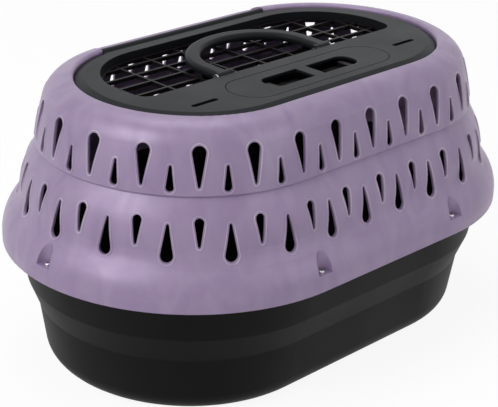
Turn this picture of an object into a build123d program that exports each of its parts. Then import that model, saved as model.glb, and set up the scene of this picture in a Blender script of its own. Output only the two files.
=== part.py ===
from build123d import *
import math
import os

# A top-load cat carrier. Millimetres, +Z up, origin at the middle of the base's underside.
# X runs along the carrier, -Y is the latch side and +Y the hinge side.
# Every level of the carrier is a stadium in plan: two straight sides and two half rounds.

# Plan
STRAIGHT_HALF = 85.0          # half the straight side, the same at every height
SKIRT_R = 165.0               # end radius at the shell's lower edge
PLASTIC_WALL = 2.4            # wall of the moulded parts

# Base tub
FLOOR_CORNER_R = 127.0        # end radius where the floor and the wall would meet
FLOOR_ROUND = 20.0
FLOOR_FLAT_R = 90.0           # end radius of the flat middle of the floor
STEP_Z = 55.0                 # the wall steps outwards above this height
STEP_R = 135.3
SHOULDER_Z = 79.0
SHOULDER_R = 144.8
BASE_TOP_Z = 118.0
BASE_TOP_R = 151.8
STEP_ROUND = 6.0
FLANGE_R = 161.9
FLANGE_THICK = 2.5

# Upper shell
SKIRT_Z = 113.8
SKIRT_BAND_Z = 122.0
SKIRT_MID = (162.6, 133.0)    # radius and height on the bulge of the skirt
CREASE = (154.3, 146.6)
TIER_FOOT = (150.7, 153.0)    # the hollow above the crease
TIER_START = (148.6, 160.0)
TIER_MID = (144.2, 180.5)
TIER_END = (132.8, 201.0)
LEDGE = (135.0, 202.8)        # the upper tier overhangs the lower one here
UPPER_MID = (132.4, 220.0)
UPPER_END = (127.4, 239.5)
SHOULDER_MID = (120.9, 251.0)
RIM_OUTER = (107.0, 257.9)
OPENING_R = 100.6             # end radius of the opening that holds the lid
RIM_Z = 258.4
RIM_ROUND = 3.0
SEAT_Z = 246.0                # ledge under the lid
SEAT_WIDTH = 5.6

# Drop-shaped air slots: every 20 degrees round the ends, four pitches on a straight side
SLOTS_PER_SIDE = 4
SLOTS_PER_END = 9
SLOT_POINT_R = 1.1
# name, lowest z, highest z, head radius, head is at the top, shifted by half a pitch
SLOT_ROWS = (
    ("upper_large", 209.2, 242.2, 5.7, True, False),
    ("upper_small", 205.6, 226.8, 3.3, False, True),
    ("lower_small", 163.8, 186.9, 3.9, True, False),
    ("lower_large", 151.4, 182.1, 5.3, False, True),
)
SLOT_REACH = 12.0             # how far a slot's cut runs in and out from the wall

# Shell screws, in pockets of the skirt
SCREW_R = 157.8               # end radius of the line of screws
POCKET_FLOOR_Z = 128.6
POCKET_HALF_WIDTH = 8.0
POCKET_DEPTH = 10.8           # inwards from the skirt's end radius
POCKET_TOP_Z = 152.0
SCREW_SHANK_R = 1.6
SCREW_HEAD_R = 3.2
SCREW_HEAD_H = 2.0
SCREW_LENGTH = 13.0
SCREW_TIP_ROOM = 1.0
SCREW_HEAD_ROUND = 1.2
SCREW_BOSS_R = 3.6
RECESS_R = 1.5                # cross recess
RECESS_DEPTH = 1.0
THREAD_CLEARANCE = 0.05

# Lid
LID_TOP_Z = 257.4
LID_CLEARANCE = 1.0
LID_PLATE = 3.0
LID_SKIRT_WALL = 2.4
LID_EDGE_WIDTH = 8.0          # plan width of the sloped edge
LID_EDGE_DROP = 3.2
LID_FOOT_GAP = 0.3            # above the seat
WINDOW_CENTRE_Y = 8.0
WINDOW_R = 73.0
WINDOW_FRONT_Y = -19.0
WINDOW_CORNER = 14.0
WINDOW_WALL = 2.4
WINDOW_WALL_Z = 250.5         # underside of the wall round the window

# Hinge
HINGE_Y = 103.4
HINGE_Z = 252.9
BARREL_R = 4.2
BARREL_HALF = 100.8
BARREL_GAP = 0.5
HINGE_EAR = 8.0
HINGE_EAR_R = 4.0
TROUGH_BACK_Y = 126.0         # beyond the shell's back wall at the hinge
TROUGH_THICK = 3.6            # floor of the trough behind the barrel
TROUGH_WALL_Z = 252.4         # the shell's back wall stops here behind the barrel
HINGE_NOTCH_Y = 95.5          # the lid's edge is cut back to here beside the barrel
HINGE_NOTCH_X = 113.0
HINGE_PIN_R = 1.5
HINGE_PIN_IN_BARREL = 14.0
HINGE_PIN_IN_EAR = 6.5
RUNNING_FIT = 0.06
HINGE_WEB = 3.0               # thickness of the web between the barrel and the lid
PIN_CHAMFER = 0.3

# Grille
GRILLE_THICK = 3.4
GRILLE_FRAME = 5.0
GRILLE_BAR = 2.6
GRILLE_LONG_BARS = 4
FIRST_BAR_Y = 5.2
GRILLE_LONG_PITCH = 20.7
GRILLE_CROSS_PITCH = 36.0
GRILLE_CROSS_BAR = 2.2

# Latch
LATCH_Y = -58.0
COVER_HALF_LENGTH = 91.5
COVER_HALF_WIDTH = 24.0
COVER_THICK = 2.5
COVER_GAP = 0.7
COVER_LEDGE = 4.0
COVER_LEDGE_THICK = 2.0
FINGER_HOLE_IN = 6.0
FINGER_HOLE_OUT = 53.5
FINGER_HOLE_WIDTH = 24.0
FINGER_HOLE_ROUND = 10.0
SLIT_NEAR = 110.0
SLIT_FAR = 138.5
SLIT_WIDTH = 5.0
HOUSING_WALL = 2.4
TRAY_THICK = 2.4
TRAY_Z = 244.0                # underside of the tray
SLIDER_THICK = 3.0
SLIDER_GAP = 0.3
SLIDER_WIDTH = 16.0
BOLT_WIDTH = 8.0
BOLT_TIP_R = 104.4            # end radius of the bolts' tips when latched
LATCH_TRAVEL = 7.0            # each slider's way inwards
SLIDER_INNER = LATCH_TRAVEL + 2.0
SLIDER_SHOULDER = 84.0
TAB_NEAR = 43.0
TAB_FAR = 49.0
TAB_TOP_GAP = 3.0             # below the cover's top
TAB_ROUND = 1.5
RIB_COUNT = 6
RIB_PITCH = 3.0
RIB_RISE = 1.0
SPRING_POST_X = 58.0
SPRING_POST_THICK = 3.0
POST_RISE = 1.0               # above the sliders
SPRING_END_X = 78.0
SPRING_OUTER_R = 1.6
SPRING_WIRE_R = 0.35
SPRING_TURNS = 9
SPRING_SLOT = 7.0
SPRING_SEAT_GAP = 0.1
GUIDE_HALF = 146.0            # how far out the bolt guides reach
KEEPER_CLEARANCE = 0.6
KEEPER_LENGTH = 16.0

# Lid screws, from below
LID_SCREW_R = 1.3
LID_SCREW_HEAD_R = 2.6
LID_SCREW_HEAD_H = 1.6
LID_SCREW_LENGTH = 8.0        # length of the hole it goes into, with room at the tip
LID_BOSS_R = 3.4
TRAY_SCREW_X = 72.0
TRAY_SCREW_SPREAD = 15.5

# Handle
HANDLE_PIVOT_Y = -14.6
HANDLE_PIVOT_Z = 255.0
HANDLE_HALF_WIDTH = 62.5      # to the middle of the grip
HANDLE_ARCH_HEIGHT = 51.0
HANDLE_LEG = 21.5
HANDLE_WIDTH = 14.0
HANDLE_THICK = 8.0
HANDLE_ROUND = 3.6
HANDLE_TILT = 1.6             # the folded grip rises towards the hinge
HANDLE_REST_GAP = 0.2
HANDLE_EYE_R = 4.0
HANDLE_PIN_R = 2.0
LUG_THICK = 4.0
LUG_GAP = 0.5
LUG_R = 4.0
PIN_HEAD_R = 3.2
PIN_HEAD_H = 1.4

os.makedirs("parts", exist_ok=True)


def save(piece, name):
    """Label a finished piece and write it."""
    piece.part.label = name
    export_step(piece.part, f"parts/{name}.step")


def stadium(radius, offset_y=0.0):
    """Draw a stadium with the carrier's straight sides in the current sketch."""
    with Locations((0, offset_y)):
        SlotCenterToCenter(2 * STRAIGHT_HALF, 2 * radius)


def straight_plane(side):
    """Section plane at one end of a straight side: local x outwards, local y up."""
    return Plane(origin=(-side * STRAIGHT_HALF, 0, 0), x_dir=(0, side, 0), z_dir=(side, 0, 0))


def end_plane(end):
    """Section plane where an end's half round starts: local x outwards, local y up."""
    return Plane(origin=(end * STRAIGHT_HALF, 0, 0), x_dir=(0, -end, 0), z_dir=(-end, 0, 0))


def carry_round(draw_section):
    """Make the solid of a wall section carried once round the stadium."""
    with BuildPart() as ring:
        for side in (1, -1):
            with BuildSketch(straight_plane(side)):
                draw_section()
            extrude(amount=2 * STRAIGHT_HALF)
        for end in (1, -1):
            with BuildSketch(end_plane(end)):
                draw_section()
            revolve(axis=Axis((end * STRAIGHT_HALF, 0, 0), (0, 0, 1)), revolution_arc=180)
    return ring.part


def wall_stations(count_side, count_end, shifted):
    """Give (x, y, outward angle) factors for points at an even pitch round the stadium."""
    stations = []
    pitch = 2 * STRAIGHT_HALF / count_side
    turn = 180.0 / count_end
    for side in (-1, 1):
        steps = count_side if shifted else count_side + 1
        for i in range(steps):
            x = -STRAIGHT_HALF + pitch * (i + (0.5 if shifted else 0.0))
            stations.append((x, 0.0, 90.0 * side))
    for end in (-1, 1):
        steps = range(count_end) if shifted else range(1, count_end)
        for i in steps:
            angle = -90.0 + turn * (i + (0.5 if shifted else 0.0))
            stations.append((end * STRAIGHT_HALF, 0.0, angle if end > 0 else 180.0 - angle))
    return stations


def outward(station):
    """Give the unit vector that points out of the wall at a station."""
    angle = math.radians(station[2])
    return Vector(math.cos(angle), math.sin(angle), 0)


def teardrop(low, high, head_radius, head_up):
    """Draw a drop shape between two heights, with its head at the top or the bottom."""
    head = high - head_radius if head_up else low + head_radius
    point = low + SLOT_POINT_R if head_up else high - SLOT_POINT_R
    with Locations((0, head)):
        Circle(head_radius)
    with Locations((0, point)):
        Circle(SLOT_POINT_R)
    make_hull()


# Screw places round the skirt: two on each straight side's ends and one at each end
screw_points = []
for end in (-1, 1):
    screw_points.append((end * (STRAIGHT_HALF + SCREW_R), 0.0, 90.0 - 90.0 * end))
    for side in (-1, 1):
        screw_points.append((end * STRAIGHT_HALF, side * SCREW_R, 90.0 * side))

boss_top_z = POCKET_FLOOR_Z - PLASTIC_WALL
shank_low_z = POCKET_FLOOR_Z - SCREW_LENGTH - SCREW_TIP_ROOM


# Base tub: floor, stepped wall, and an outward flange with screw bosses
def base_wall():
    with BuildLine() as outline:
        outer = FilletPolyline(
            (FLOOR_FLAT_R, 0),
            (FLOOR_CORNER_R, 0),
            (STEP_R, STEP_Z),
            (SHOULDER_R, SHOULDER_Z),
            (BASE_TOP_R, BASE_TOP_Z),
            radius=(FLOOR_ROUND, STEP_ROUND, STEP_ROUND),
        )
        inner = FilletPolyline(
            (FLOOR_FLAT_R, PLASTIC_WALL),
            (FLOOR_CORNER_R - PLASTIC_WALL, PLASTIC_WALL),
            (STEP_R - PLASTIC_WALL, STEP_Z + PLASTIC_WALL / 4),
            (SHOULDER_R - PLASTIC_WALL, SHOULDER_Z + PLASTIC_WALL / 4),
            (BASE_TOP_R - PLASTIC_WALL, BASE_TOP_Z),
            radius=(FLOOR_ROUND - PLASTIC_WALL, STEP_ROUND, STEP_ROUND),
        )
        Line(outer @ 1, inner @ 1)
        Line(outer @ 0, inner @ 0)
    make_face(outline.line)
    with Locations((BASE_TOP_R - PLASTIC_WALL, BASE_TOP_Z)):
        Rectangle(FLANGE_R - BASE_TOP_R + PLASTIC_WALL, FLANGE_THICK, align=(Align.MIN, Align.MAX))


with BuildPart() as base_tub:
    add(carry_round(base_wall))
    with BuildSketch():
        stadium(FLOOR_FLAT_R)
    extrude(amount=PLASTIC_WALL)
    with BuildSketch(Plane.XY.offset(BASE_TOP_Z - FLANGE_THICK)):
        for x, y, angle in screw_points:
            with Locations((x, y)):
                Circle(SCREW_BOSS_R)
    extrude(amount=boss_top_z - BASE_TOP_Z + FLANGE_THICK)
    with BuildSketch(Plane.XY.offset(shank_low_z)):
        for x, y, angle in screw_points:
            with Locations((x, y)):
                Circle(SCREW_SHANK_R + THREAD_CLEARANCE)
    extrude(amount=boss_top_z - shank_low_z, mode=Mode.SUBTRACT)
save(base_tub, "base_tub")


# Upper shell
def shell_outline():
    """Draw the outer side of the shell's section, from the skirt's edge to the lid's seat."""
    rim_inner = OPENING_R + RIM_ROUND
    Line((SKIRT_R, SKIRT_Z), (SKIRT_R, SKIRT_BAND_Z))
    ThreePointArc((SKIRT_R, SKIRT_BAND_Z), SKIRT_MID, CREASE)
    ThreePointArc(CREASE, TIER_FOOT, TIER_START)
    ThreePointArc(TIER_START, TIER_MID, TIER_END)
    Line(TIER_END, LEDGE)
    ThreePointArc(LEDGE, UPPER_MID, UPPER_END)
    ThreePointArc(UPPER_END, SHOULDER_MID, RIM_OUTER)
    Line(RIM_OUTER, (rim_inner, RIM_Z))
    RadiusArc((rim_inner, RIM_Z), (OPENING_R, RIM_Z - RIM_ROUND), -RIM_ROUND)


def shell_lining():
    """Draw the inner side of the same wall, one wall thickness in."""
    wall = PLASTIC_WALL
    Line((SKIRT_R - wall, SKIRT_Z), (SKIRT_R - wall, SKIRT_BAND_Z))
    ThreePointArc(
        (SKIRT_R - wall, SKIRT_BAND_Z),
        (SKIRT_MID[0] - wall, SKIRT_MID[1] - wall / 3),
        (CREASE[0] - 0.85 * wall, CREASE[1] - 0.5 * wall),
    )
    ThreePointArc(
        (CREASE[0] - 0.85 * wall, CREASE[1] - 0.5 * wall),
        (TIER_FOOT[0] - 0.95 * wall, TIER_FOOT[1] - 0.3 * wall),
        (TIER_START[0] - wall, TIER_START[1]),
    )
    ThreePointArc(
        (TIER_START[0] - wall, TIER_START[1]),
        (TIER_MID[0] - wall, TIER_MID[1] - wall / 4),
        (TIER_END[0] - wall, TIER_END[1] - wall / 4),
    )
    Line((TIER_END[0] - wall, TIER_END[1] - wall / 4), (LEDGE[0] - wall, LEDGE[1] + wall / 4))
    ThreePointArc(
        (LEDGE[0] - wall, LEDGE[1] + wall / 4),
        (UPPER_MID[0] - wall, UPPER_MID[1]),
        (UPPER_END[0] - wall, UPPER_END[1] - wall / 6),
    )
    ThreePointArc(
        (UPPER_END[0] - wall, UPPER_END[1] - wall / 6),
        (SHOULDER_MID[0] - 0.75 * wall, SHOULDER_MID[1] - 0.7 * wall),
        (RIM_OUTER[0], RIM_OUTER[1] - wall),
    )
    Line((RIM_OUTER[0], RIM_OUTER[1] - wall), (OPENING_R + wall, RIM_Z - 1.3 * wall))


def shell_wall():
    wall = PLASTIC_WALL
    with BuildLine() as outline:
        shell_outline()
        shell_lining()
        Polyline(
            (OPENING_R + wall, RIM_Z - 1.3 * wall),
            (OPENING_R + wall, SEAT_Z - wall),
            (OPENING_R - SEAT_WIDTH, SEAT_Z - wall),
            (OPENING_R - SEAT_WIDTH, SEAT_Z),
            (OPENING_R, SEAT_Z),
            (OPENING_R, RIM_Z - RIM_ROUND),
        )
        Line((SKIRT_R, SKIRT_Z), (SKIRT_R - wall, SKIRT_Z))
    make_face(outline.line)


def shell_solid_section():
    """Draw the shell's section filled up to its middle, to trim added blocks with."""
    with BuildLine() as outline:
        shell_outline()
        Polyline(
            (OPENING_R, RIM_Z - RIM_ROUND),
            (0, RIM_Z - RIM_ROUND),
            (0, SKIRT_Z),
            (SKIRT_R, SKIRT_Z),
        )
    make_face(outline.line)


def pocket_plan(margin):
    """Draw the plan of every screw pocket, grown by a margin."""
    to_edge = SKIRT_R - SCREW_R
    for x, y, angle in screw_points:
        px = x + to_edge * math.cos(math.radians(angle))
        py = y + to_edge * math.sin(math.radians(angle))
        with Locations(Location((px, py, 0), angle)):
            Ellipse(POCKET_DEPTH + margin, POCKET_HALF_WIDTH + margin)


with BuildPart() as shell_envelope:
    add(carry_round(shell_solid_section))

with BuildPart() as pocket_blocks:
    with BuildSketch(Plane.XY.offset(boss_top_z)):
        pocket_plan(PLASTIC_WALL)
    extrude(amount=POCKET_TOP_Z - boss_top_z)
    add(shell_envelope.part, mode=Mode.INTERSECT)

ear_inner = BARREL_HALF + BARREL_GAP
with BuildPart() as hinge_ears:
    for end in (-1, 1):
        with BuildSketch(Plane.YZ.offset(end * (ear_inner + HINGE_EAR / 2))):
            with Locations((HINGE_Y - HINGE_EAR_R, SEAT_Z - PLASTIC_WALL)):
                Rectangle(
                    TROUGH_BACK_Y - HINGE_Y + HINGE_EAR_R,
                    HINGE_Z + HINGE_EAR_R - SEAT_Z + PLASTIC_WALL,
                    align=(Align.MIN, Align.MIN),
                )
        extrude(amount=HINGE_EAR / 2, both=True)
    with BuildSketch(Plane.YZ):
        with Locations((OPENING_R, SEAT_Z - PLASTIC_WALL)):
            Rectangle(TROUGH_BACK_Y - OPENING_R, TROUGH_THICK, align=(Align.MIN, Align.MIN))
    extrude(amount=ear_inner, both=True)
    add(shell_envelope.part, mode=Mode.INTERSECT)

with BuildPart() as upper_shell:
    add(carry_round(shell_wall))
    add(pocket_blocks.part)
    # Pockets for the screws, open to the outside and above
    with BuildSketch(Plane.XY.offset(POCKET_FLOOR_Z)):
        pocket_plan(0)
    extrude(amount=POCKET_TOP_Z + PLASTIC_WALL - POCKET_FLOOR_Z, mode=Mode.SUBTRACT)
    with BuildSketch(Plane.XY.offset(boss_top_z)):
        for x, y, angle in screw_points:
            with Locations((x, y)):
                Circle(SCREW_SHANK_R + THREAD_CLEARANCE)
    extrude(amount=PLASTIC_WALL, mode=Mode.SUBTRACT)
    # Room for the hinge barrel in the rear rim
    with BuildSketch(Plane.YZ.offset(-ear_inner)):
        with Locations((HINGE_Y, HINGE_Z)):
            Circle(BARREL_R + BARREL_GAP)
        with Locations((HINGE_Y - 2 * BARREL_R, TROUGH_WALL_Z)):
            Rectangle(TROUGH_BACK_Y - HINGE_Y + 2 * BARREL_R, 2 * BARREL_R, align=(Align.MIN, Align.MIN))
    extrude(amount=2 * ear_inner, mode=Mode.SUBTRACT)
    add(hinge_ears.part)
    # Blind holes for the hinge pins
    for end in (-1, 1):
        with BuildSketch(Plane.YZ.offset(end * ear_inner)):
            with Locations((HINGE_Y, HINGE_Z)):
                Circle(HINGE_PIN_R + RUNNING_FIT / 2)
        extrude(amount=end * (HINGE_PIN_IN_EAR + BARREL_GAP), mode=Mode.SUBTRACT)
    # Keeper slots for the two bolts
    keeper_z = TRAY_Z + TRAY_THICK + SLIDER_GAP + SLIDER_THICK / 2
    keeper_x = STRAIGHT_HALF + math.sqrt(OPENING_R**2 - LATCH_Y**2)
    for end in (-1, 1):
        with BuildSketch(Plane.XY.offset(keeper_z)):
            with Locations((end * keeper_x, LATCH_Y)):
                Rectangle(KEEPER_LENGTH, BOLT_WIDTH + 2 * KEEPER_CLEARANCE)
        extrude(amount=SLIDER_THICK / 2 + KEEPER_CLEARANCE, both=True, mode=Mode.SUBTRACT)
    # Air slots through the two tiers
    slot_r = {"upper": UPPER_MID[0], "lower": TIER_MID[0]}
    for row, low, high, head_radius, head_up, shifted in SLOT_ROWS:
        radius = slot_r[row.split("_")[0]]
        for station in wall_stations(SLOTS_PER_SIDE, SLOTS_PER_END, shifted):
            normal = outward(station)
            origin = Vector(station[0], 0, 0) + normal * radius
            across = Vector(0, 0, 1).cross(normal)
            with BuildSketch(Plane(origin=origin, x_dir=across, z_dir=normal)):
                teardrop(low, high, head_radius, head_up)
    extrude(amount=SLOT_REACH, both=True, mode=Mode.SUBTRACT)
save(upper_shell, "upper_shell")


# Lid frame
lid_r = OPENING_R - LID_CLEARANCE
lid_foot_z = SEAT_Z + LID_FOOT_GAP
housing_floor_z = TRAY_Z + TRAY_THICK
slider_z = housing_floor_z + SLIDER_GAP
bolt_mid_z = slider_z + SLIDER_THICK / 2
plate_low_z = LID_TOP_Z - LID_PLATE
window_top_y = WINDOW_CENTRE_Y + WINDOW_R


def window_outline(margin):
    """Draw the window in the lid, grown by a margin."""
    with BuildSketch(mode=Mode.PRIVATE) as outline:
        stadium(WINDOW_R, WINDOW_CENTRE_Y)
        with Locations((0, WINDOW_FRONT_Y)):
            Rectangle(
                4 * STRAIGHT_HALF,
                2 * WINDOW_R,
                align=(Align.CENTER, Align.MAX),
                mode=Mode.SUBTRACT,
            )
        front = outline.vertices().group_by(Axis.Y)[0]
        fillet(front, WINDOW_CORNER)
        if margin:
            offset(amount=margin)
    add(outline.sketch)


def latch_oval(half_length, half_width):
    """Draw the latch's oval about its own centre line."""
    with Locations((0, LATCH_Y)):
        SlotOverall(2 * half_length, 2 * half_width)


def housing_outline():
    """Draw the outer edge of the latch's housing: an oval with a bolt guide at each end."""
    room = COVER_GAP + HOUSING_WALL
    latch_oval(COVER_HALF_LENGTH + room, COVER_HALF_WIDTH + room)
    with Locations((0, LATCH_Y)):
        Rectangle(2 * GUIDE_HALF, BOLT_WIDTH + 2 * SLIDER_GAP + 2 * HOUSING_WALL)


tray_screws = []
for end in (-1, 1):
    for side in (-1, 1):
        tray_screws.append((end * TRAY_SCREW_X, LATCH_Y + side * TRAY_SCREW_SPREAD))

grille_screws = []
for x in (-STRAIGHT_HALF, 0.0, STRAIGHT_HALF):
    grille_screws.append((x, window_top_y + WINDOW_WALL + LID_SCREW_R))
for end in (-1, 1):
    grille_screws.append((end * (STRAIGHT_HALF + WINDOW_R + WINDOW_WALL + LID_SCREW_R), WINDOW_CENTRE_Y))

lug_x = HANDLE_HALF_WIDTH - HANDLE_WIDTH / 2 - LUG_GAP - LUG_THICK / 2

with BuildPart() as lid_frame:
    # Plate with a sloped edge, standing on a skirt
    with BuildSketch(Plane.XY.offset(lid_foot_z)):
        stadium(lid_r)
    extrude(amount=LID_TOP_Z - lid_foot_z)
    chamfer(lid_frame.edges().group_by(Axis.Z)[-1], length=LID_EDGE_DROP, length2=LID_EDGE_WIDTH)
    with BuildSketch(Plane.XY.offset(lid_foot_z)):
        stadium(lid_r - LID_SKIRT_WALL)
    extrude(amount=plate_low_z - LID_EDGE_DROP - lid_foot_z, mode=Mode.SUBTRACT)
    with BuildSketch(Plane.XY.offset(plate_low_z - LID_EDGE_DROP)):
        stadium(lid_r - LID_EDGE_WIDTH - LID_SKIRT_WALL / 2)
    extrude(amount=LID_EDGE_DROP, mode=Mode.SUBTRACT)
    # Hinge barrel along the back, with a groove in front of it
    with BuildSketch(Plane.YZ.offset(-BARREL_HALF)):
        with Locations((HINGE_Y, HINGE_Z)):
            Circle(BARREL_R)
        with BuildLine():
            Polyline(
                (HINGE_Y, HINGE_Z - HINGE_WEB / 3),
                (HINGE_Y, HINGE_Z + 2 * HINGE_WEB / 3),
                (lid_r - LID_SKIRT_WALL, HINGE_Z + 2 * HINGE_WEB / 3),
                (lid_r - LID_SKIRT_WALL, HINGE_Z - HINGE_WEB / 3),
                close=True,
            )
        make_face()
    extrude(amount=2 * BARREL_HALF)
    # The edge cut back beside the barrel, to swing clear of the shell's rim, with a wall behind the cut
    for end in (-1, 1):
        with BuildSketch(Plane.XY.offset(lid_foot_z)):
            with Locations((end * (BARREL_HALF + HINGE_NOTCH_X) / 2, HINGE_NOTCH_Y)):
                Rectangle(
                    HINGE_NOTCH_X - BARREL_HALF,
                    LID_SKIRT_WALL,
                    align=(Align.CENTER, Align.MAX),
                )
            with Locations((end * (BARREL_HALF - LID_SKIRT_WALL / 2), HINGE_NOTCH_Y - LID_SKIRT_WALL)):
                Rectangle(
                    LID_SKIRT_WALL,
                    lid_r - HINGE_NOTCH_Y,
                    align=(Align.CENTER, Align.MIN),
                )
        extrude(amount=plate_low_z - lid_foot_z)
        with BuildSketch(Plane.XY.offset(lid_foot_z)):
            with Locations((end * (BARREL_HALF + 2 * HINGE_EAR), HINGE_NOTCH_Y)):
                Rectangle(4 * HINGE_EAR, lid_r, align=(Align.CENTER, Align.MIN))
        extrude(amount=LID_TOP_Z - lid_foot_z, mode=Mode.SUBTRACT)
    # Window with a wall round it
    with BuildSketch(Plane.XY.offset(WINDOW_WALL_Z)):
        window_outline(WINDOW_WALL)
    extrude(amount=plate_low_z - WINDOW_WALL_Z)
    with BuildSketch(Plane.XY.offset(WINDOW_WALL_Z)):
        window_outline(0)
    extrude(amount=LID_TOP_Z - WINDOW_WALL_Z, mode=Mode.SUBTRACT)
    # Latch housing: an oval wall and two bolt guides
    with BuildSketch(Plane.XY.offset(housing_floor_z)):
        housing_outline()
    extrude(amount=plate_low_z - housing_floor_z)
    with BuildSketch(Plane.XY.offset(housing_floor_z)):
        latch_oval(COVER_HALF_LENGTH - COVER_LEDGE, COVER_HALF_WIDTH - COVER_LEDGE)
    extrude(amount=LID_TOP_Z - housing_floor_z, mode=Mode.SUBTRACT)
    with BuildSketch(Plane.XY.offset(housing_floor_z)):
        latch_oval(COVER_HALF_LENGTH + COVER_GAP, COVER_HALF_WIDTH + COVER_GAP)
    extrude(amount=plate_low_z - COVER_LEDGE_THICK - housing_floor_z, mode=Mode.SUBTRACT)
    with BuildSketch(Plane.XY.offset(LID_TOP_Z)):
        latch_oval(COVER_HALF_LENGTH + COVER_GAP, COVER_HALF_WIDTH + COVER_GAP)
    extrude(amount=-COVER_THICK, mode=Mode.SUBTRACT)
    # Bolt ways out through the guides and the skirt
    with BuildSketch(Plane.XY.offset(housing_floor_z)):
        with Locations((0, LATCH_Y)):
            Rectangle(4 * STRAIGHT_HALF + 2 * lid_r, BOLT_WIDTH + 2 * SLIDER_GAP)
    extrude(amount=SLIDER_THICK + 2 * SLIDER_GAP, mode=Mode.SUBTRACT)
    # Bosses for the grille's screws
    with BuildSketch(Plane.XY.offset(WINDOW_WALL_Z)):
        for point in grille_screws:
            with Locations(point):
                Circle(LID_BOSS_R)
    extrude(amount=plate_low_z - WINDOW_WALL_Z)
    with BuildSketch(Plane.XY.offset(WINDOW_WALL_Z)):
        window_outline(0)
    extrude(amount=LID_TOP_Z - WINDOW_WALL_Z, mode=Mode.SUBTRACT)
    with BuildSketch(Plane.XY.offset(WINDOW_WALL_Z)):
        for point in grille_screws:
            with Locations(point):
                Circle(LID_SCREW_R + THREAD_CLEARANCE)
    extrude(amount=LID_SCREW_LENGTH - GRILLE_THICK, mode=Mode.SUBTRACT)
    # Slits over the bolts
    with BuildSketch(Plane.XY.offset(LID_TOP_Z)):
        for end in (-1, 1):
            with Locations((end * (SLIT_NEAR + SLIT_FAR) / 2, LATCH_Y)):
                SlotOverall(SLIT_FAR - SLIT_NEAR, SLIT_WIDTH)
    extrude(amount=-(LID_TOP_Z - bolt_mid_z - SLIDER_THICK / 2), mode=Mode.SUBTRACT)
    # Lugs for the handle, on the window's front wall
    with BuildSketch(Plane.YZ.offset(-lug_x)) as lug:
        with Locations((HANDLE_PIVOT_Y, HANDLE_PIVOT_Z)):
            Circle(LUG_R)
        with Locations((WINDOW_FRONT_Y - WINDOW_WALL / 2, HANDLE_PIVOT_Z - LUG_R)):
            Rectangle(
                HANDLE_PIVOT_Y - WINDOW_FRONT_Y + WINDOW_WALL / 2,
                LID_TOP_Z - HANDLE_PIVOT_Z + LUG_R,
                align=(Align.MIN, Align.MIN),
            )
    extrude(amount=LUG_THICK / 2, both=True)
    with BuildSketch(Plane.YZ.offset(lug_x)):
        add(lug.sketch_local)
    extrude(amount=LUG_THICK / 2, both=True)
    with BuildSketch(Plane.YZ):
        with Locations((HANDLE_PIVOT_Y, HANDLE_PIVOT_Z)):
            Circle(HANDLE_PIN_R)
    extrude(amount=lug_x + LUG_THICK, both=True, mode=Mode.SUBTRACT)
    # Blind holes for the hinge pins
    for end in (-1, 1):
        with BuildSketch(Plane.YZ.offset(end * BARREL_HALF)):
            with Locations((HINGE_Y, HINGE_Z)):
                Circle(HINGE_PIN_R + RUNNING_FIT)
        extrude(amount=-end * (HINGE_PIN_IN_BARREL + BARREL_GAP), mode=Mode.SUBTRACT)
save(lid_frame, "lid_frame")


# Grille under the window: a rim, two sets of bars and two rests for the handle
grille_low_z = WINDOW_WALL_Z - GRILLE_THICK
tilt = math.radians(HANDLE_TILT)
# Underside of the folded leg over the first bar, less the gap it rests with
rest_z = HANDLE_PIVOT_Z + (FIRST_BAR_Y - GRILLE_BAR / 2 - HANDLE_PIVOT_Y) * math.tan(tilt)
rest_z -= HANDLE_THICK / 2 / math.cos(tilt) + HANDLE_REST_GAP

with BuildPart() as lid_grille:
    with BuildSketch(Plane.XY.offset(grille_low_z)):
        window_outline(WINDOW_WALL)
        for point in grille_screws:
            with Locations(point):
                Circle(LID_BOSS_R)
        with BuildSketch(mode=Mode.PRIVATE) as inside:
            window_outline(WINDOW_WALL - GRILLE_FRAME)
        add(inside.sketch, mode=Mode.SUBTRACT)
    extrude(amount=GRILLE_THICK)
    with BuildSketch(Plane.XY.offset(grille_low_z)) as bars:
        for i in range(GRILLE_LONG_BARS):
            with Locations((0, FIRST_BAR_Y + GRILLE_LONG_PITCH * i)):
                Rectangle(4 * STRAIGHT_HALF, GRILLE_BAR)
        cross_count = int((STRAIGHT_HALF + WINDOW_R) / GRILLE_CROSS_PITCH)
        for i in range(-cross_count, cross_count + 1):
            with Locations((i * GRILLE_CROSS_PITCH, (WINDOW_FRONT_Y + window_top_y) / 2)):
                Rectangle(GRILLE_CROSS_BAR, window_top_y - WINDOW_FRONT_Y)
        with BuildSketch(mode=Mode.PRIVATE) as limit:
            window_outline(-WINDOW_WALL / 2)
        add(limit.sketch, mode=Mode.INTERSECT)
    extrude(amount=GRILLE_THICK)
    # Rests under the handle's legs
    with BuildSketch(Plane.XY.offset(WINDOW_WALL_Z)):
        for end in (-1, 1):
            with Locations((end * HANDLE_HALF_WIDTH, FIRST_BAR_Y)):
                Rectangle(HANDLE_WIDTH, GRILLE_BAR)
    extrude(amount=rest_z - WINDOW_WALL_Z)
    with BuildSketch(Plane.XY.offset(grille_low_z)):
        for point in grille_screws:
            with Locations(point):
                Circle(LID_SCREW_R + THREAD_CLEARANCE)
    extrude(amount=GRILLE_THICK, mode=Mode.SUBTRACT)
save(lid_grille, "lid_grille")


# Latch cover, flush in the lid, with two finger holes and bosses for the tray's screws
def finger_hole(end):
    """Draw one finger hole, square towards the middle bar and round at its far end."""
    length = FINGER_HOLE_OUT - FINGER_HOLE_IN
    with BuildSketch(mode=Mode.PRIVATE) as hole:
        with Locations((end * (FINGER_HOLE_IN + length / 2), LATCH_Y)):
            Rectangle(length, FINGER_HOLE_WIDTH)
        corners = hole.vertices().sort_by(Axis.X)
        outer = corners[2:] if end > 0 else corners[:2]
        inner = corners[:2] if end > 0 else corners[2:]
        fillet(outer, FINGER_HOLE_ROUND)
        fillet(inner, FINGER_HOLE_ROUND / 5)
    add(hole.sketch, mode=Mode.SUBTRACT)


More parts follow.
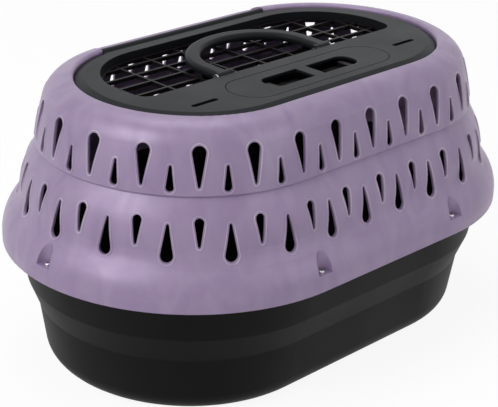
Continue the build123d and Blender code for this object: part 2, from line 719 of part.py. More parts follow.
with BuildPart() as latch_cover:
    with BuildSketch(Plane.XY.offset(LID_TOP_Z - COVER_THICK)):
        latch_oval(COVER_HALF_LENGTH, COVER_HALF_WIDTH)
        for end in (-1, 1):
            finger_hole(end)
    extrude(amount=COVER_THICK)
    with BuildSketch(Plane.XY.offset(housing_floor_z)):
        for point in tray_screws:
            with Locations(point):
                Circle(LID_BOSS_R)
    extrude(amount=LID_TOP_Z - COVER_THICK - housing_floor_z)
    with BuildSketch(Plane.XY.offset(housing_floor_z)):
        for point in tray_screws:
            with Locations(point):
                Circle(LID_SCREW_R + THREAD_CLEARANCE)
    extrude(amount=LID_SCREW_LENGTH - TRAY_THICK, mode=Mode.SUBTRACT)
save(latch_cover, "latch_cover")


# Tray that closes the latch from below, with the two spring posts
with BuildPart() as latch_tray:
    with BuildSketch(Plane.XY.offset(TRAY_Z)):
        housing_outline()
    extrude(amount=TRAY_THICK)
    for end in (-1, 1):
        with BuildSketch(Plane.XY.offset(housing_floor_z)):
            with Locations((end * SPRING_POST_X, LATCH_Y)):
                Rectangle(SPRING_POST_THICK, SPRING_SLOT - 2 * SLIDER_GAP)
        extrude(amount=SLIDER_GAP + SLIDER_THICK + POST_RISE)
    with BuildSketch(Plane.XY.offset(TRAY_Z)):
        for point in tray_screws:
            with Locations(point):
                Circle(LID_SCREW_R + THREAD_CLEARANCE)
    extrude(amount=TRAY_THICK, mode=Mode.SUBTRACT)
save(latch_tray, "latch_tray")


# The two latch sliders, each with a ribbed finger tab and a bolt
post_outer = SPRING_POST_X + SPRING_POST_THICK / 2
post_inner = SPRING_POST_X - SPRING_POST_THICK / 2


def make_slider(end, name):
    with BuildPart() as slider:
        with BuildSketch(Plane.XY.offset(slider_z)):
            with Locations((end * (SLIDER_INNER + SLIDER_SHOULDER) / 2, LATCH_Y)):
                Rectangle(SLIDER_SHOULDER - SLIDER_INNER, SLIDER_WIDTH)
            with Locations((end * (SLIDER_SHOULDER + STRAIGHT_HALF), LATCH_Y)):
                Rectangle(2 * STRAIGHT_HALF, BOLT_WIDTH)
            with BuildSketch(mode=Mode.PRIVATE) as tip:
                stadium(BOLT_TIP_R)
            add(tip.sketch, mode=Mode.INTERSECT)
            # Room for the spring and its post
            with Locations((end * (post_inner - SLIDER_GAP + SPRING_END_X) / 2, LATCH_Y)):
                Rectangle(SPRING_END_X - post_inner + SLIDER_GAP, SPRING_SLOT, mode=Mode.SUBTRACT)
        extrude(amount=SLIDER_THICK)
        with BuildSketch(Plane.XY.offset(slider_z + SLIDER_THICK)):
            with Locations((end * (TAB_NEAR + TAB_FAR) / 2, LATCH_Y)):
                RectangleRounded(TAB_FAR - TAB_NEAR, SLIDER_WIDTH, TAB_ROUND)
        extrude(amount=LID_TOP_Z - TAB_TOP_GAP - slider_z - SLIDER_THICK)
        with BuildSketch(Plane.XY.offset(slider_z + SLIDER_THICK)):
            for i in range(RIB_COUNT):
                with Locations((end * (TAB_NEAR - RIB_PITCH * (i + 1)), LATCH_Y)):
                    Rectangle(RIB_PITCH / 2, SLIDER_WIDTH)
        extrude(amount=RIB_RISE)
    save(slider, name)


make_slider(-1, "latch_slider_left")
make_slider(1, "latch_slider_right")


# The two latch springs, wound wire between the post and the end of the slider's slot
def make_spring(end, name):
    length = SPRING_END_X - post_outer - 2 * SPRING_SEAT_GAP - 2 * SPRING_WIRE_R
    mean_r = SPRING_OUTER_R - SPRING_WIRE_R
    start_x = end * (post_outer + SPRING_SEAT_GAP + SPRING_WIRE_R)
    with BuildPart() as spring:
        with BuildLine():
            coil = Helix(
                pitch=length / SPRING_TURNS,
                height=length,
                radius=mean_r,
                center=(start_x, LATCH_Y, bolt_mid_z),
                direction=(end, 0, 0),
            )
        with BuildSketch(Plane(origin=coil @ 0, z_dir=coil % 0)):
            Circle(SPRING_WIRE_R)
        sweep(path=coil, is_frenet=True)
    save(spring, name)


make_spring(-1, "latch_spring_left")
make_spring(1, "latch_spring_right")


# Screws
def cross_recess():
    """Draw a cross for a screwdriver."""
    Rectangle(2 * RECESS_R, RECESS_R / 2)
    Rectangle(RECESS_R / 2, 2 * RECESS_R)


with BuildPart() as shell_screws:
    for x, y, angle in screw_points:
        with BuildSketch(Plane(origin=(x, y, POCKET_FLOOR_Z))):
            Circle(SCREW_SHANK_R)
        extrude(amount=-SCREW_LENGTH)
        with BuildSketch(Plane(origin=(x, y, POCKET_FLOOR_Z))):
            Circle(SCREW_HEAD_R)
        extrude(amount=SCREW_HEAD_H)
    fillet(shell_screws.edges().filter_by(GeomType.CIRCLE).group_by(Axis.Z)[-1], SCREW_HEAD_ROUND)
    for x, y, angle in screw_points:
        with BuildSketch(Plane(origin=(x, y, POCKET_FLOOR_Z + SCREW_HEAD_H))):
            cross_recess()
        extrude(amount=-RECESS_DEPTH, mode=Mode.SUBTRACT)
save(shell_screws, "shell_screws")

with BuildPart() as lid_screws:
    for points, seat_z in ((tray_screws, TRAY_Z), (grille_screws, grille_low_z)):
        for x, y in points:
            with BuildSketch(Plane(origin=(x, y, seat_z))):
                Circle(LID_SCREW_R)
            extrude(amount=LID_SCREW_LENGTH - SCREW_TIP_ROOM)
            with BuildSketch(Plane(origin=(x, y, seat_z))):
                Circle(LID_SCREW_HEAD_R)
            extrude(amount=-LID_SCREW_HEAD_H)
            with BuildSketch(Plane(origin=(x, y, seat_z - LID_SCREW_HEAD_H))):
                cross_recess()
            extrude(amount=RECESS_DEPTH, mode=Mode.SUBTRACT)
save(lid_screws, "lid_screws")


# Hinge pins, pressed into the shell's ears and running in the lid's barrel
for end, name in ((-1, "hinge_pin_left"), (1, "hinge_pin_right")):
    with BuildPart() as hinge_pin:
        with BuildSketch(Plane.YZ.offset(end * (ear_inner + HINGE_PIN_IN_EAR))):
            with Locations((HINGE_Y, HINGE_Z)):
                Circle(HINGE_PIN_R)
        extrude(amount=-end * (HINGE_PIN_IN_EAR + HINGE_PIN_IN_BARREL))
        chamfer(hinge_pin.edges().filter_by(GeomType.CIRCLE), PIN_CHAMFER)
    save(hinge_pin, name)


# Carry handle: a flat arch whose two legs end in eyes
handle_plane = Plane(
    origin=(0, HANDLE_PIVOT_Y, HANDLE_PIVOT_Z),
    x_dir=(1, 0, 0),
    z_dir=(0, -math.sin(tilt), math.cos(tilt)),
)
with BuildPart() as carry_handle:
    with BuildLine(handle_plane) as grip_line:
        leg_right = Line((HANDLE_HALF_WIDTH, 0), (HANDLE_HALF_WIDTH, HANDLE_LEG))
        arch = EllipticalCenterArc(
            (0, HANDLE_LEG), HANDLE_HALF_WIDTH, HANDLE_ARCH_HEIGHT, start_angle=0, arc_size=180
        )
        leg_left = Line((-HANDLE_HALF_WIDTH, HANDLE_LEG), (-HANDLE_HALF_WIDTH, 0))
    with BuildSketch(Plane(origin=leg_right @ 0, x_dir=(1, 0, 0), z_dir=leg_right % 0)):
        RectangleRounded(HANDLE_WIDTH, HANDLE_THICK, HANDLE_ROUND)
    sweep(path=grip_line.wires()[0])
    for end in (-1, 1):
        with BuildSketch(Plane.YZ.offset(end * HANDLE_HALF_WIDTH)):
            with Locations((HANDLE_PIVOT_Y, HANDLE_PIVOT_Z)):
                Circle(HANDLE_EYE_R)
        extrude(amount=HANDLE_WIDTH / 2, both=True)
    with BuildSketch(Plane.YZ):
        with Locations((HANDLE_PIVOT_Y, HANDLE_PIVOT_Z)):
            Circle(HANDLE_PIN_R + RUNNING_FIT)
    extrude(amount=2 * HANDLE_HALF_WIDTH, both=True, mode=Mode.SUBTRACT)
save(carry_handle, "carry_handle")

for end, name in ((-1, "handle_pin_left"), (1, "handle_pin_right")):
    pin_inner = lug_x - LUG_THICK / 2
    pin_outer = HANDLE_HALF_WIDTH + HANDLE_WIDTH / 2 + LUG_GAP
    with BuildPart() as handle_pin:
        with BuildSketch(Plane.YZ.offset(end * pin_inner)):
            with Locations((HANDLE_PIVOT_Y, HANDLE_PIVOT_Z)):
                Circle(HANDLE_PIN_R)
        extrude(amount=end * (pin_outer - pin_inner))
        with BuildSketch(Plane.YZ.offset(end * pin_outer)):
            with Locations((HANDLE_PIVOT_Y, HANDLE_PIVOT_Z)):
                Circle(PIN_HEAD_R)
        extrude(amount=end * PIN_HEAD_H)
    save(handle_pin, name)
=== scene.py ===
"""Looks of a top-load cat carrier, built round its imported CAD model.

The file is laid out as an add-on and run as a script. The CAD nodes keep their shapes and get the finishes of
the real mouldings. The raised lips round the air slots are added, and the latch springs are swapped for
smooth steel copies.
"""

import math

import bmesh
import bpy
from bpy.props import FloatProperty, FloatVectorProperty, PointerProperty
from mathutils import Matrix, Vector
from mathutils.bvhtree import BVHTree


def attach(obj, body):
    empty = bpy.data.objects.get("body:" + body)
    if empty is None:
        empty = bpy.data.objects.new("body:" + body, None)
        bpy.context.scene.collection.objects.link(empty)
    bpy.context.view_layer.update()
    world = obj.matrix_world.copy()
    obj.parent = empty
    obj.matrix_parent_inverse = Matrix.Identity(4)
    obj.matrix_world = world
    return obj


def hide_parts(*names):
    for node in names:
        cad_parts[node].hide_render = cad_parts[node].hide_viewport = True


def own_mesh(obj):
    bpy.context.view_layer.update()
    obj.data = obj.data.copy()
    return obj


bl_info = {
    "name": "Cat carrier looks",
    "version": (1, 0, 0),
    "blender": (4, 5, 0),
    "location": "3D View > Sidebar > Carrier",
    "description": "Finishes, small mouldings and a studio for a top-load cat carrier",
    "category": "Object",
}

MM = 0.001

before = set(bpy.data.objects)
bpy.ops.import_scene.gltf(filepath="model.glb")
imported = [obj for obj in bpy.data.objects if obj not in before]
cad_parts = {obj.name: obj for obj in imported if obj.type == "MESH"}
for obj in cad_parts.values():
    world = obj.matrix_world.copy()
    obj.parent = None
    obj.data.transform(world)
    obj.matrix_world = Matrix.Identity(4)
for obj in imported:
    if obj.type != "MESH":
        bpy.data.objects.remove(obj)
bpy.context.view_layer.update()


def linear(hex_colour):
    """Turn an sRGB hex colour into linear values."""
    values = [int(hex_colour[i : i + 2], 16) / 255 for i in (1, 3, 5)]
    return [v / 12.92 if v <= 0.04045 else ((v + 0.055) / 1.055) ** 2.4 for v in values]


def rgba(colour):
    return (*colour, 1.0)


# The camera that the photograph was taken with, fitted to the carrier's outlines

PHOTO_WIDTH = 498             # pixels
FOCAL_PIXELS = 1523.4
SENSOR_WIDTH_MM = 36.0
CAMERA_PLACE = Vector((-0.92369, -0.90261, 0.67957))
CAMERA_REACH = 50.0
CAMERA_AZIMUTH = math.radians(-45.30)
CAMERA_ELEVATION = math.radians(23.70)
CAMERA_ROLL = math.radians(1.69)


class CarrierFinish(bpy.types.PropertyGroup):
    shell_colour: FloatVectorProperty(
        name="Shell",
        description="Lilac of the upper shell",
        default=linear("#947fa3"),
        subtype="COLOR",
    )
    shell_pearl: FloatVectorProperty(
        name="Shell pearl",
        description="Paler tone of the pearl pigment's flow lines",
        default=linear("#a28fae"),
        subtype="COLOR",
    )
    base_colour: FloatVectorProperty(
        name="Base",
        description="Black of the base tub",
        default=linear("#08080a"),
        subtype="COLOR",
    )
    lid_colour: FloatVectorProperty(
        name="Lid",
        description="Dark grey of the lid, the latch cover and the handle",
        default=linear("#1b1d20"),
        subtype="COLOR",
    )
    grille_colour: FloatVectorProperty(
        name="Grille",
        description="Near black of the grille and the latch's inside",
        default=linear("#141013"),
        subtype="COLOR",
    )
    # Painted highlight: the slot lips get a paler colour that stands in for the light catching their raised
    # crests
    lip_highlight_colour: FloatVectorProperty(
        name="Slot lips",
        description="Paler tone of the rubbed lips round the air slots",
        default=linear("#d2c7d9"),
        subtype="COLOR",
    )
    steel_colour: FloatVectorProperty(
        name="Steel",
        description="Zinc-plated screws, pins and springs",
        default=linear("#c9cacb"),
        subtype="COLOR",
    )
    flow_length: FloatProperty(
        name="Flow lines",
        description="Width of the wavy flow lines that the pearl pigment leaves in the shell",
        default=26 * MM,
        unit="LENGTH",
    )
    peel_size: FloatProperty(
        name="Orange peel",
        description="Width of the faint waves in the glossy mouldings",
        default=5 * MM,
        unit="LENGTH",
    )
    grain_size: FloatProperty(
        name="Mould grain",
        description="Width of the eroded grain of the matt mouldings, drawn coarser than the real 0.3 mm",
        default=1.2 * MM,
        unit="LENGTH",
    )
    lip_margin: FloatProperty(
        name="Slot lip distance",
        description="From an air slot's edge to the middle of its raised lip",
        default=1.5 * MM,
        unit="LENGTH",
    )
    lip_radius: FloatProperty(
        name="Slot lip height",
        description="How far the lip stands out of the shell",
        default=0.5 * MM,
        unit="LENGTH",
    )
    edge_round: FloatProperty(
        name="Edge rounding",
        description="Radius that the mould gives to sharp edges",
        default=0.9 * MM,
        unit="LENGTH",
    )


class CarrierStage(bpy.types.PropertyGroup):
    key_power: FloatProperty(
        name="Key lamp", description="Large lamp on the left", default=24.0, unit="POWER"
    )
    fill_power: FloatProperty(
        name="Fill lamp", description="Lamp on the right, in front", default=6.0, unit="POWER"
    )
    top_power: FloatProperty(name="Top lamp", description="Lamp overhead", default=9.0, unit="POWER")
    room_light: FloatProperty(name="Room light", description="Even light from all sides", default=0.28)
    floor_colour: FloatVectorProperty(
        name="Floor",
        description="Pale studio floor",
        default=linear("#f2f2f2"),
        subtype="COLOR",
    )


def add_node(tree, kind, settings=None, inputs=None):
    """Add a node, set its properties, and set or link its inputs."""
    node = tree.nodes.new(kind)
    for name, value in (settings or {}).items():
        setattr(node, name, value)
    for name, value in (inputs or {}).items():
        if isinstance(value, bpy.types.NodeSocket):
            tree.links.new(value, node.inputs[name])
        else:
            node.inputs[name].default_value = value
    return node


def new_material(name):
    """Start a material with a Principled shader and Object coordinates."""
    material = bpy.data.materials.new(name)
    material.use_nodes = True
    tree = material.node_tree
    tree.nodes.clear()
    output = tree.nodes.new("ShaderNodeOutputMaterial")
    shader = tree.nodes.new("ShaderNodeBsdfPrincipled")
    tree.links.new(shader.outputs["BSDF"], output.inputs["Surface"])
    place = tree.nodes.new("ShaderNodeTexCoord").outputs["Object"]
    return material, tree, shader, place


def set_ramp(node, stops):
    """Give a colour ramp its stops."""
    ramp = node.color_ramp
    while len(ramp.elements) > 1:
        ramp.elements.remove(ramp.elements[-1])
    ramp.elements[0].position = stops[0][0]
    ramp.elements[0].color = stops[0][1]
    for position, colour in stops[1:]:
        element = ramp.elements.new(position)
        element.color = colour


def noise_at(tree, place, width, detail=2.0, stretch=(1.0, 1.0, 1.0), distortion=0.0):
    """Add noise whose waves are about the given width in metres."""
    mapping = add_node(tree, "ShaderNodeMapping", inputs={"Vector": place, "Scale": stretch})
    return add_node(
        tree,
        "ShaderNodeTexNoise",
        inputs={
            "Vector": mapping.outputs["Vector"],
            "Scale": 1.0 / width,
            "Detail": detail,
            "Distortion": distortion,
        },
    )


# What the mouldings have in common: the part of the noise that their patterns use, and their relief

NOISE_LOW = 0.3
NOISE_HIGH = 0.7
FINE_DETAIL = 3.0
PLASTIC_IOR = 1.49
RELIEF_DEPTH = 0.3 * MM
EDGE_SAMPLES = 4

# Pearl pigment drifts with the melt, so the flow lines are drawn out in height and swirl a little
PEARL_HIGH = 0.75
FLOW_STRETCH = (1.0, 1.0, 0.45)
FLOW_SWIRL = 1.2
ROUGH_BETWEEN_LINES = 0.43
ROUGH_ON_LINES = 0.38
PEARL_METALLIC = 0.15
PEARL_COAT = 0.12
PEARL_COAT_ROUGHNESS = 0.25
PEEL_STRENGTH = 0.12


def relief(tree, shader, finish, pattern, strength):
    """Round the sharp edges in the shading and lay a pattern's fine relief over them."""
    rounded = add_node(tree, "ShaderNodeBevel", {"samples": EDGE_SAMPLES}, {"Radius": finish.edge_round})
    bump = add_node(
        tree,
        "ShaderNodeBump",
        inputs={
            "Height": pattern.outputs["Fac"],
            "Strength": strength,
            "Distance": RELIEF_DEPTH,
            "Normal": rounded.outputs["Normal"],
        },
    )
    tree.links.new(bump.outputs["Normal"], shader.inputs["Normal"])


def pearl_polypropylene(name, finish, body, pearl):
    """Lilac polypropylene with pearl pigment: satin, faintly metallic, with pale wavy flow lines."""
    material, tree, shader, place = new_material(name)
    flow = noise_at(tree, place, finish.flow_length, FINE_DETAIL, FLOW_STRETCH, FLOW_SWIRL)
    tone = add_node(tree, "ShaderNodeValToRGB", inputs={"Fac": flow.outputs["Fac"]})
    set_ramp(tone, [(NOISE_LOW, rgba(body)), (PEARL_HIGH, rgba(pearl))])
    tree.links.new(tone.outputs["Color"], shader.inputs["Base Color"])
    gloss = add_node(
        tree,
        "ShaderNodeMapRange",
        inputs={
            "Value": flow.outputs["Fac"],
            "From Min": NOISE_LOW,
            "From Max": NOISE_HIGH,
            "To Min": ROUGH_BETWEEN_LINES,
            "To Max": ROUGH_ON_LINES,
        },
    )
    tree.links.new(gloss.outputs["Result"], shader.inputs["Roughness"])
    shader.inputs["Metallic"].default_value = PEARL_METALLIC
    shader.inputs["IOR"].default_value = PLASTIC_IOR
    shader.inputs["Coat Weight"].default_value = PEARL_COAT
    shader.inputs["Coat Roughness"].default_value = PEARL_COAT_ROUGHNESS
    relief(tree, shader, finish, noise_at(tree, place, finish.peel_size), PEEL_STRENGTH)
    return material


# Mould grain looks matt, with clouds of tone many grains wide that change its colour and gloss a little
CLOUD_IN_GRAINS = 40
TONE_SPREAD = 0.12
GLOSS_SPREAD = 0.03
DARK_GLOSS_LEVEL = 0.1        # grained dark plastic mirrors far less than a polished one


def grained_plastic(name, finish, colour, roughness, grain_strength):
    """Moulded plastic with an eroded grain: the grain breaks the highlights into a soft satin."""
    material, tree, shader, place = new_material(name)
    cloud = noise_at(tree, place, CLOUD_IN_GRAINS * finish.grain_size, FINE_DETAIL)
    tone = add_node(tree, "ShaderNodeValToRGB", inputs={"Fac": cloud.outputs["Fac"]})
    low = [(1 - TONE_SPREAD) * v for v in colour]
    high = [(1 + TONE_SPREAD) * v for v in colour]
    set_ramp(tone, [(NOISE_LOW, rgba(low)), (NOISE_HIGH, rgba(high))])
    tree.links.new(tone.outputs["Color"], shader.inputs["Base Color"])
    gloss = add_node(
        tree,
        "ShaderNodeMapRange",
        inputs={
            "Value": cloud.outputs["Fac"],
            "From Min": NOISE_LOW,
            "From Max": NOISE_HIGH,
            "To Min": roughness + GLOSS_SPREAD,
            "To Max": roughness - GLOSS_SPREAD,
        },
    )
    tree.links.new(gloss.outputs["Result"], shader.inputs["Roughness"])
    shader.inputs["IOR"].default_value = PLASTIC_IOR
    shader.inputs["Specular IOR Level"].default_value = DARK_GLOSS_LEVEL
    relief(tree, shader, finish, noise_at(tree, place, finish.grain_size, FINE_DETAIL), grain_strength)
    return material


# Zinc plating looks bright, but tumbled parts are cloudy in patches about 2 mm wide
ZINC_CLOUD = 2 * MM
ZINC_DULL = 0.8
ZINC_ROUGH = 0.36
ZINC_SMOOTH = 0.22


def zinc_plated_steel(finish):
    """Zinc-plated steel, tumbled smooth: bright, with faint cloudy patches in its gloss."""
    material, tree, shader, place = new_material("zinc_plated_steel")
    cloud = noise_at(tree, place, ZINC_CLOUD, FINE_DETAIL)
    tone = add_node(tree, "ShaderNodeValToRGB", inputs={"Fac": cloud.outputs["Fac"]})
    dull = [ZINC_DULL * v for v in finish.steel_colour]
    set_ramp(tone, [(NOISE_LOW, rgba(dull)), (NOISE_HIGH, rgba(finish.steel_colour))])
    tree.links.new(tone.outputs["Color"], shader.inputs["Base Color"])
    gloss = add_node(
        tree,
        "ShaderNodeMapRange",
        inputs={"Value": cloud.outputs["Fac"], "To Min": ZINC_ROUGH, "To Max": ZINC_SMOOTH},
    )
    tree.links.new(gloss.outputs["Result"], shader.inputs["Roughness"])
    shader.inputs["Metallic"].default_value = 1.0
    return material


def dress(nodes, material):
    """Give CAD nodes a finish through their objects' material slots."""
    for name in nodes:
        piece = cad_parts[name]
        if not piece.material_slots:
            piece.data.materials.append(material)
        for slot in piece.material_slots:
            slot.material = material


class CARRIER_OT_finish_shell(bpy.types.Operator):
    """Finish the upper shell as pearl lilac plastic"""

    bl_idname = "carrier.finish_shell"
    bl_label = "Finish upper shell"

    def execute(self, context):
        finish = context.scene.carrier_finish
        pearl = pearl_polypropylene("pearl_polypropylene", finish, finish.shell_colour, finish.shell_pearl)
        dress(["upper_shell"], pearl)
        return {"FINISHED"}


# Drop-shaped air slots, as in the shell: every 20 degrees round the ends, four pitches on a straight side

STRAIGHT_HALF = 85 * MM
SLOTS_PER_SIDE = 4
SLOTS_PER_END = 9
SLOT_POINT_R = 1.1 * MM
# lowest z, highest z, head radius, head is at the top, shifted by half a pitch
SLOT_ROWS = (
    (209.2 * MM, 242.2 * MM, 5.7 * MM, True, False),
    (205.6 * MM, 226.8 * MM, 3.3 * MM, False, True),
    (163.8 * MM, 186.9 * MM, 3.9 * MM, True, False),
    (151.4 * MM, 182.1 * MM, 5.3 * MM, False, True),
)
LIP_ARC_STEPS = 12
LIP_STEP = 3 * MM
LIP_BEVEL_STEPS = 1
RAY_START_R = 0.3             # well outside the shell, in metres from a slot's place on the middle line


def slot_stations(shifted):
    """Give (x, outward angle) for the slots of one row, round the whole shell."""
    half = 0.5 if shifted else 0.0
    pitch = 2 * STRAIGHT_HALF / SLOTS_PER_SIDE
    turn = math.pi / SLOTS_PER_END
    stations = []
    for side in (-1, 1):
        for i in range(SLOTS_PER_SIDE if shifted else SLOTS_PER_SIDE + 1):
            stations.append((-STRAIGHT_HALF + pitch * (i + half), side * math.pi / 2))
    for i in range(SLOTS_PER_END) if shifted else range(1, SLOTS_PER_END):
        angle = -math.pi / 2 + turn * (i + half)
        stations.append((STRAIGHT_HALF, angle))
        stations.append((-STRAIGHT_HALF, math.pi - angle))
    return stations


def drop_outline(low, high, head_radius, head_up, margin):
    """Give points (across, height) round a drop shape grown by a margin, no further apart than one step."""
    head = high - head_radius if head_up else low + head_radius
    point = low + SLOT_POINT_R if head_up else high - SLOT_POINT_R
    toward = math.copysign(1.0, point - head)
    lean = math.acos((head_radius - SLOT_POINT_R) / abs(point - head))
    corners = []
    for centre, radius, start, sweep, steps in (
        (head, head_radius + margin, lean, 2 * (math.pi - lean), LIP_ARC_STEPS),
        (point, SLOT_POINT_R + margin, -lean, 2 * lean, LIP_ARC_STEPS // 2),
    ):
        for i in range(steps + 1):
            angle = start + sweep * i / steps
            corners.append((radius * math.sin(angle), centre + toward * radius * math.cos(angle)))
    outline = []
    for i, (u, z) in enumerate(corners):
        next_u, next_z = corners[(i + 1) % len(corners)]
        parts = max(1, math.ceil(math.hypot(next_u - u, next_z - z) / LIP_STEP))
        for k in range(parts):
            outline.append((u + (next_u - u) * k / parts, z + (next_z - z) * k / parts))
    return outline


class CARRIER_OT_add_slot_lips(bpy.types.Operator):
    """Add the thin raised lip that the mould leaves round every air slot"""

    bl_idname = "carrier.add_slot_lips"
    bl_label = "Add slot lips"

    def execute(self, context):
        finish = context.scene.carrier_finish
        shell = BVHTree.FromObject(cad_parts["upper_shell"], context.evaluated_depsgraph_get())
        curve = bpy.data.curves.new("slot_lips", "CURVE")
        curve.dimensions = "3D"
        curve.bevel_depth = finish.lip_radius
        curve.bevel_resolution = LIP_BEVEL_STEPS
        for low, high, head_radius, head_up, shifted in SLOT_ROWS:
            outline = drop_outline(low, high, head_radius, head_up, finish.lip_margin)
            for x, angle in slot_stations(shifted):
                outwards = Vector((math.cos(angle), math.sin(angle), 0.0))
                across = Vector((0.0, 0.0, 1.0)).cross(outwards)
                places = []
                for u, z in outline:
                    start = Vector((x, 0.0, z)) + outwards * RAY_START_R + across * u
                    hit = shell.ray_cast(start, -outwards)[0]
                    if hit is None:
                        raise RuntimeError("a slot lip misses the shell")
                    places.append(hit)
                spline = curve.splines.new("POLY")
                spline.points.add(len(places) - 1)
                for point, place in zip(spline.points, places):
                    point.co = (*place, 1.0)
                spline.use_cyclic_u = True
                spline.use_smooth = True
        lips = bpy.data.objects.new("slot_lips", curve)
        context.scene.collection.objects.link(lips)
        # The same pearl plastic where it stands proud, painted paler: a painted highlight standing in for the
        # light on the lips' crests
        painted_highlight = pearl_polypropylene("painted_highlight_polypropylene", finish, finish.shell_pearl, finish.lip_highlight_colour)
        curve.materials.append(painted_highlight)
        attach(lips, "carrier")
        return {"FINISHED"}


# Roughness and grain of the dark mouldings, from the matt tub to the smooth grille

BASE_ROUGHNESS = 0.5
BASE_GRAIN = 0.3
LID_ROUGHNESS = 0.40
LID_GRAIN = 0.15
GRILLE_ROUGHNESS = 0.36
GRILLE_GRAIN = 0.12


class CARRIER_OT_finish_base(bpy.types.Operator):
    """Finish the base tub as matt black plastic"""

    bl_idname = "carrier.finish_base"
    bl_label = "Finish base tub"

    def execute(self, context):
        finish = context.scene.carrier_finish
        matt = grained_plastic(
            "black_grained_polypropylene", finish, finish.base_colour, BASE_ROUGHNESS, BASE_GRAIN
        )
        dress(["base_tub"], matt)
        return {"FINISHED"}


class CARRIER_OT_finish_lid(bpy.types.Operator):
    """Finish the lid, the latch cover and the handle as satin grey plastic"""

    bl_idname = "carrier.finish_lid"
    bl_label = "Finish lid"

    def execute(self, context):
        finish = context.scene.carrier_finish
        satin = grained_plastic(
            "grey_satin_polypropylene", finish, finish.lid_colour, LID_ROUGHNESS, LID_GRAIN
        )
        dress(["lid_frame", "latch_cover", "carry_handle"], satin)
        return {"FINISHED"}


class CARRIER_OT_finish_grille(bpy.types.Operator):
    """Finish the grille, the latch tray and the sliders as near-black plastic"""

    bl_idname = "carrier.finish_grille"
    bl_label = "Finish grille and latch"

    def execute(self, context):
        finish = context.scene.carrier_finish
        dark = grained_plastic(
            "black_satin_polypropylene", finish, finish.grille_colour, GRILLE_ROUGHNESS, GRILLE_GRAIN
        )
        dress(["lid_grille", "latch_tray", "latch_slider_left", "latch_slider_right"], dark)
        return {"FINISHED"}


class CARRIER_OT_finish_steel(bpy.types.Operator):
    """Finish the screws and pins as zinc-plated steel"""

    bl_idname = "carrier.finish_steel"
    bl_label = "Finish metal"

    def execute(self, context):
        steel = zinc_plated_steel(context.scene.carrier_finish)
        metal = ["shell_screws", "lid_screws"]
        metal += ["hinge_pin_left", "hinge_pin_right", "handle_pin_left", "handle_pin_right"]
        dress(metal, steel)
        return {"FINISHED"}


WELD_DISTANCE = 0.001 * MM


class CARRIER_OT_add_latch_springs(bpy.types.Operator):
    """Swap the two latch springs for welded, smooth-shaded copies in zinc-plated steel"""

    bl_idname = "carrier.add_latch_springs"
    bl_label = "Add latch springs"

    def execute(self, context):
        steel = bpy.data.materials["zinc_plated_steel"]
        for side in ("left", "right"):
            node = f"latch_spring_{side}"
            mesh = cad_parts[node].data.copy()
            wire = bmesh.new()
            wire.from_mesh(mesh)
            bmesh.ops.remove_doubles(wire, verts=wire.verts, dist=WELD_DISTANCE)
            for face in wire.faces:
                face.smooth = True
            wire.to_mesh(mesh)
            wire.free()
            mesh.materials.clear()
            mesh.materials.append(steel)
            spring = bpy.data.objects.new(f"working_spring_{side}", mesh)
            context.scene.collection.objects.link(spring)
            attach(spring, "lid")
            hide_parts(node)
            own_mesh(spring)
        return {"FINISHED"}


# The studio

FLOOR_HALF = 8.0
WHITE = (1.0, 1.0, 1.0)
LAMP_AIM = (0.0, 0.0, 0.14)
KEY_PLACE = (-1.9, 0.1, 1.5)
FILL_PLACE = (0.7, -1.9, 1.0)
SIDE_LAMP_SIZE = 1.4
TOP_PLACE = (0.2, 0.4, 2.0)
TOP_LAMP_SIZE = 1.2
WHITE_SHARE = 0.85            # of what the camera sees of the floor; the rest takes light and shadow
WHITE_STRENGTH = 1.06         # a little over white, because the rest of the floor is greyer


def add_lamp(name, place, size, power):
    """Add a square area lamp that points at the middle of the carrier."""
    lamp = bpy.data.lights.new(name, "AREA")
    lamp.size = size
    lamp.energy = power
    holder = bpy.data.objects.new(name, lamp)
    bpy.context.scene.collection.objects.link(holder)
    holder.location = place
    holder.rotation_euler = (Vector(LAMP_AIM) - Vector(place)).to_track_quat("-Z", "Y").to_euler()


def seen_directly(tree):
    """Give a socket that is 1 for camera, glossy and transmission rays, and 0 for light on surfaces."""
    path = add_node(tree, "ShaderNodeLightPath")
    first = add_node(tree, "ShaderNodeMath", {"operation": "MAXIMUM"})
    tree.links.new(path.outputs["Is Camera Ray"], first.inputs[0])
    tree.links.new(path.outputs["Is Glossy Ray"], first.inputs[1])
    second = add_node(tree, "ShaderNodeMath", {"operation": "MAXIMUM"})
    tree.links.new(first.outputs["Value"], second.inputs[0])
    tree.links.new(path.outputs["Is Transmission Ray"], second.inputs[1])
    return second.outputs["Value"]


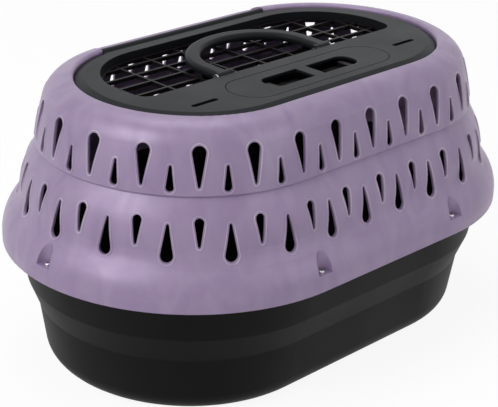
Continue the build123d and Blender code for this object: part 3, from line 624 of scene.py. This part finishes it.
class CARRIER_OT_set_stage(bpy.types.Operator):
    """Set the floor, the lamps, the surrounding light and the camera"""

    bl_idname = "carrier.set_stage"
    bl_label = "Set the stage"

    def execute(self, context):
        scene = context.scene
        stage = scene.carrier_stage
        scene.view_settings.view_transform = "Standard"

        mesh = bpy.data.meshes.new("studio_floor")
        sheet = bmesh.new()
        bmesh.ops.create_grid(sheet, x_segments=1, y_segments=1, size=FLOOR_HALF)
        sheet.to_mesh(mesh)
        sheet.free()
        floor = bpy.data.objects.new("studio_floor", mesh)
        scene.collection.objects.link(floor)
        paper = bpy.data.materials.new("studio_paper")
        paper.use_nodes = True
        tree = paper.node_tree
        tree.nodes.clear()
        matt = add_node(tree, "ShaderNodeBsdfDiffuse", inputs={"Color": rgba(stage.floor_colour)})
        white = add_node(tree, "ShaderNodeEmission", inputs={"Color": rgba(WHITE)})
        white.inputs["Strength"].default_value = WHITE_STRENGTH
        share = add_node(tree, "ShaderNodeMath", {"operation": "MULTIPLY"})
        tree.links.new(seen_directly(tree), share.inputs[0])
        share.inputs[1].default_value = WHITE_SHARE
        blend = add_node(tree, "ShaderNodeMixShader", inputs={"Fac": share.outputs["Value"]})
        tree.links.new(matt.outputs["BSDF"], blend.inputs[1])
        tree.links.new(white.outputs["Emission"], blend.inputs[2])
        add_node(tree, "ShaderNodeOutputMaterial", inputs={"Surface": blend.outputs["Shader"]})
        mesh.materials.append(paper)

        add_lamp("key_lamp", KEY_PLACE, SIDE_LAMP_SIZE, stage.key_power)
        add_lamp("fill_lamp", FILL_PLACE, SIDE_LAMP_SIZE, stage.fill_power)
        add_lamp("top_lamp", TOP_PLACE, TOP_LAMP_SIZE, stage.top_power)

        world = bpy.data.worlds.new("studio_air")
        world.use_nodes = True
        tree = world.node_tree
        tree.nodes.clear()
        room = add_node(tree, "ShaderNodeBackground", inputs={"Strength": stage.room_light})
        room.inputs["Color"].default_value = rgba(WHITE)
        sky = add_node(tree, "ShaderNodeBackground", inputs={"Strength": 1.0})
        sky.inputs["Color"].default_value = rgba(WHITE)
        blend = add_node(tree, "ShaderNodeMixShader", inputs={"Fac": seen_directly(tree)})
        tree.links.new(room.outputs["Background"], blend.inputs[1])
        tree.links.new(sky.outputs["Background"], blend.inputs[2])
        add_node(tree, "ShaderNodeOutputWorld", inputs={"Surface": blend.outputs["Shader"]})
        scene.world = world

        lens = bpy.data.cameras.new("photo_camera")
        lens.sensor_fit = "HORIZONTAL"
        lens.sensor_width = SENSOR_WIDTH_MM
        lens.lens = FOCAL_PIXELS * SENSOR_WIDTH_MM / PHOTO_WIDTH
        lens.clip_end = CAMERA_REACH
        camera = bpy.data.objects.new("photo_camera", lens)
        scene.collection.objects.link(camera)
        azimuth, elevation, roll = CAMERA_AZIMUTH, CAMERA_ELEVATION, CAMERA_ROLL
        back = Vector(
            (
                math.sin(azimuth) * math.cos(elevation),
                -math.cos(azimuth) * math.cos(elevation),
                math.sin(elevation),
            )
        )
        level = Vector((math.cos(azimuth), math.sin(azimuth), 0.0))
        above = back.cross(level)
        right = math.cos(roll) * level + math.sin(roll) * above
        up = -math.sin(roll) * level + math.cos(roll) * above
        turn = Matrix((right, up, back)).transposed().to_4x4()
        camera.matrix_world = Matrix.Translation(CAMERA_PLACE) @ turn
        scene.camera = camera
        return {"FINISHED"}


class CARRIER_PT_looks(bpy.types.Panel):
    bl_label = "Carrier looks"
    bl_idname = "CARRIER_PT_looks"
    bl_space_type = "VIEW_3D"
    bl_region_type = "UI"
    bl_category = "Carrier"

    def draw(self, context):
        column = self.layout.column()
        for name in CarrierFinish.__annotations__:
            column.prop(context.scene.carrier_finish, name)
        for name in CarrierStage.__annotations__:
            column.prop(context.scene.carrier_stage, name)
        for operator in OPERATORS:
            column.operator(operator.bl_idname)


OPERATORS = (
    CARRIER_OT_finish_shell,
    CARRIER_OT_add_slot_lips,
    CARRIER_OT_finish_base,
    CARRIER_OT_finish_lid,
    CARRIER_OT_finish_grille,
    CARRIER_OT_finish_steel,
    CARRIER_OT_add_latch_springs,
    CARRIER_OT_set_stage,
)
CLASSES = (CarrierFinish, CarrierStage, *OPERATORS, CARRIER_PT_looks)


def register():
    for each in CLASSES:
        bpy.utils.register_class(each)
    bpy.types.Scene.carrier_finish = PointerProperty(type=CarrierFinish)
    bpy.types.Scene.carrier_stage = PointerProperty(type=CarrierStage)


def unregister():
    del bpy.types.Scene.carrier_stage
    del bpy.types.Scene.carrier_finish
    for each in reversed(CLASSES):
        bpy.utils.unregister_class(each)


def main():
    register()
    bpy.ops.carrier.finish_shell()
    bpy.ops.carrier.add_slot_lips()
    bpy.ops.carrier.finish_base()
    bpy.ops.carrier.finish_lid()
    bpy.ops.carrier.finish_grille()
    bpy.ops.carrier.finish_steel()
    bpy.ops.carrier.add_latch_springs()
    bpy.ops.carrier.set_stage()


if __name__ == "__main__":
    main()
